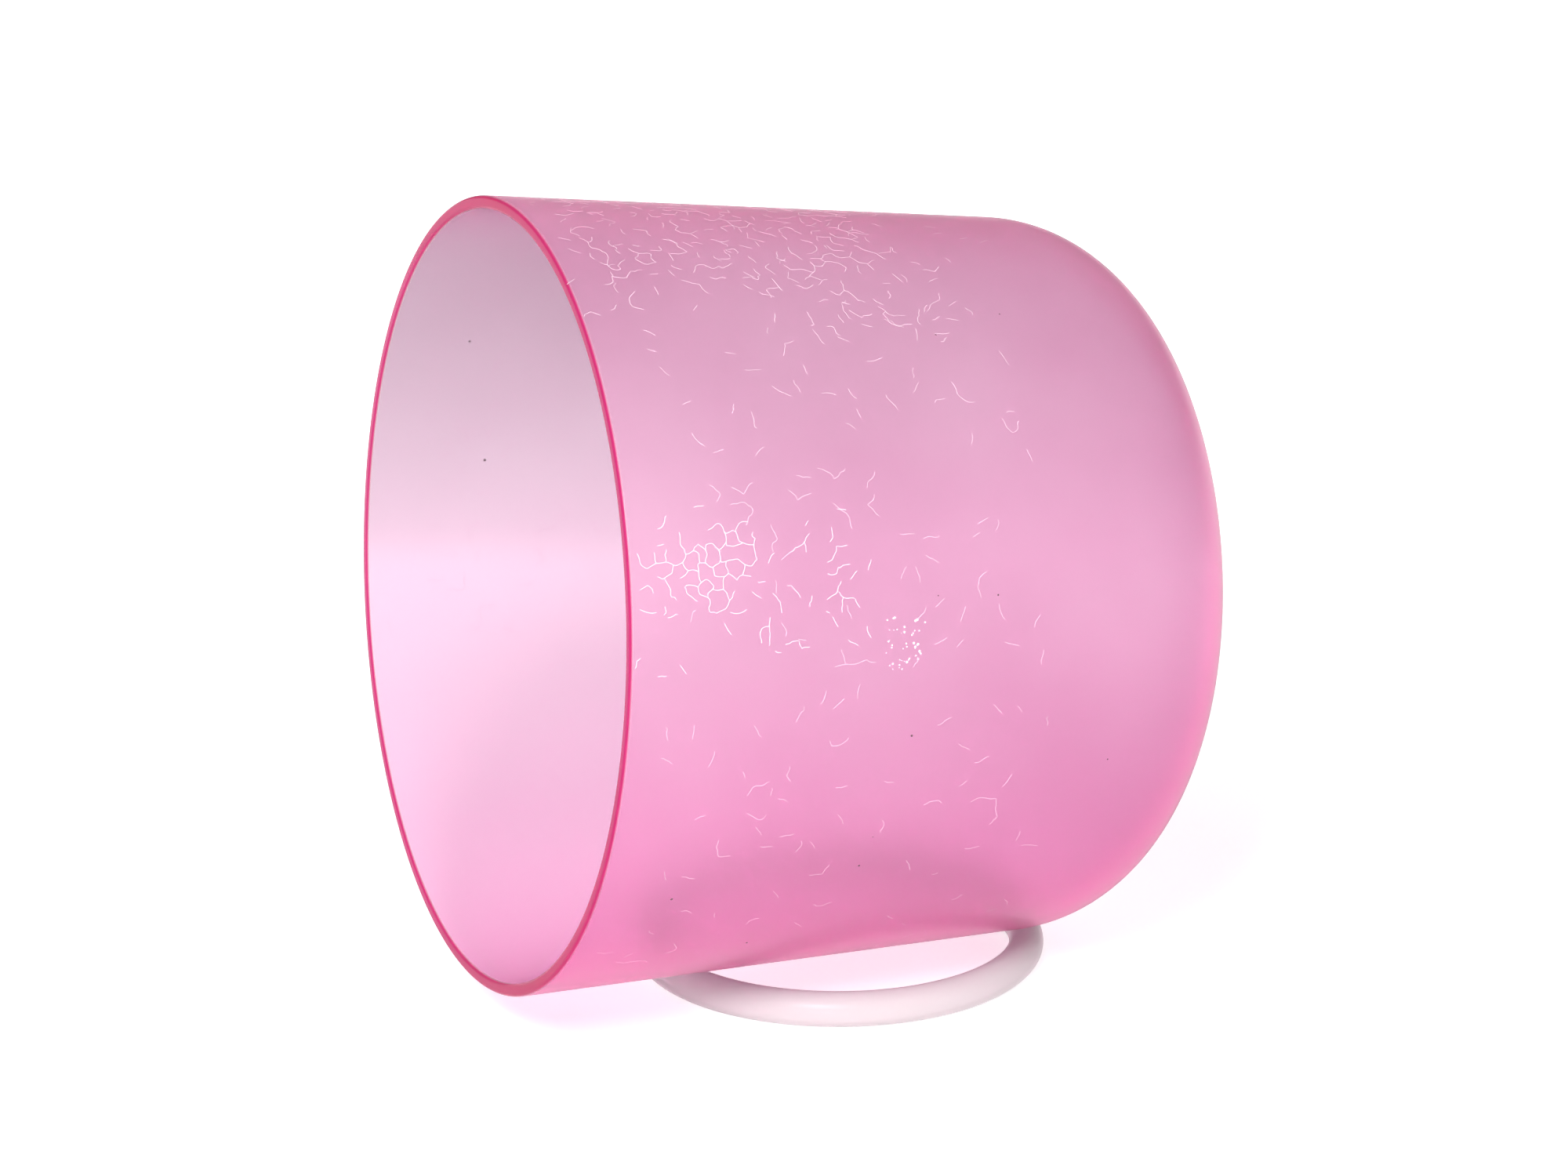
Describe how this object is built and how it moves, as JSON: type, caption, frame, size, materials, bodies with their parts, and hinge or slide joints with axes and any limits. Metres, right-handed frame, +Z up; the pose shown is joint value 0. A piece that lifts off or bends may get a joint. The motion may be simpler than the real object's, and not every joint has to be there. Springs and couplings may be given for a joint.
{
  "type": "singing bowl",
  "caption": "Frosted pink crystal singing bowl lying on its side, mouth to the front left, resting on a clear silicone ring.",
  "frame": {"origin": "on the table, under the middle of the whole object's box", "axes": "+Z up; the bowl's mouth looks along -X and 4.4 degrees upwards; Y runs across the mouth"},
  "size_m": [0.187, 0.2, 0.21],
  "materials": {
    "frosted_quartz": "translucent frosted pink, with a polished deeper pink lip and fine off-white crackle in places",
    "silicone": "satin, milky translucent, moulded"
  },
  "bodies": {
    "ring": {"silicone_ring": "silicone"},
    "bowl": {"quartz_bowl": "frosted_quartz"}
  },
  "joints": [
    {"name": "bowl_lift", "type": "slide", "parent": "ring", "child": "bowl", "axis": [0, 0, 1], "range_m": [0, 0.25]}
  ]
}
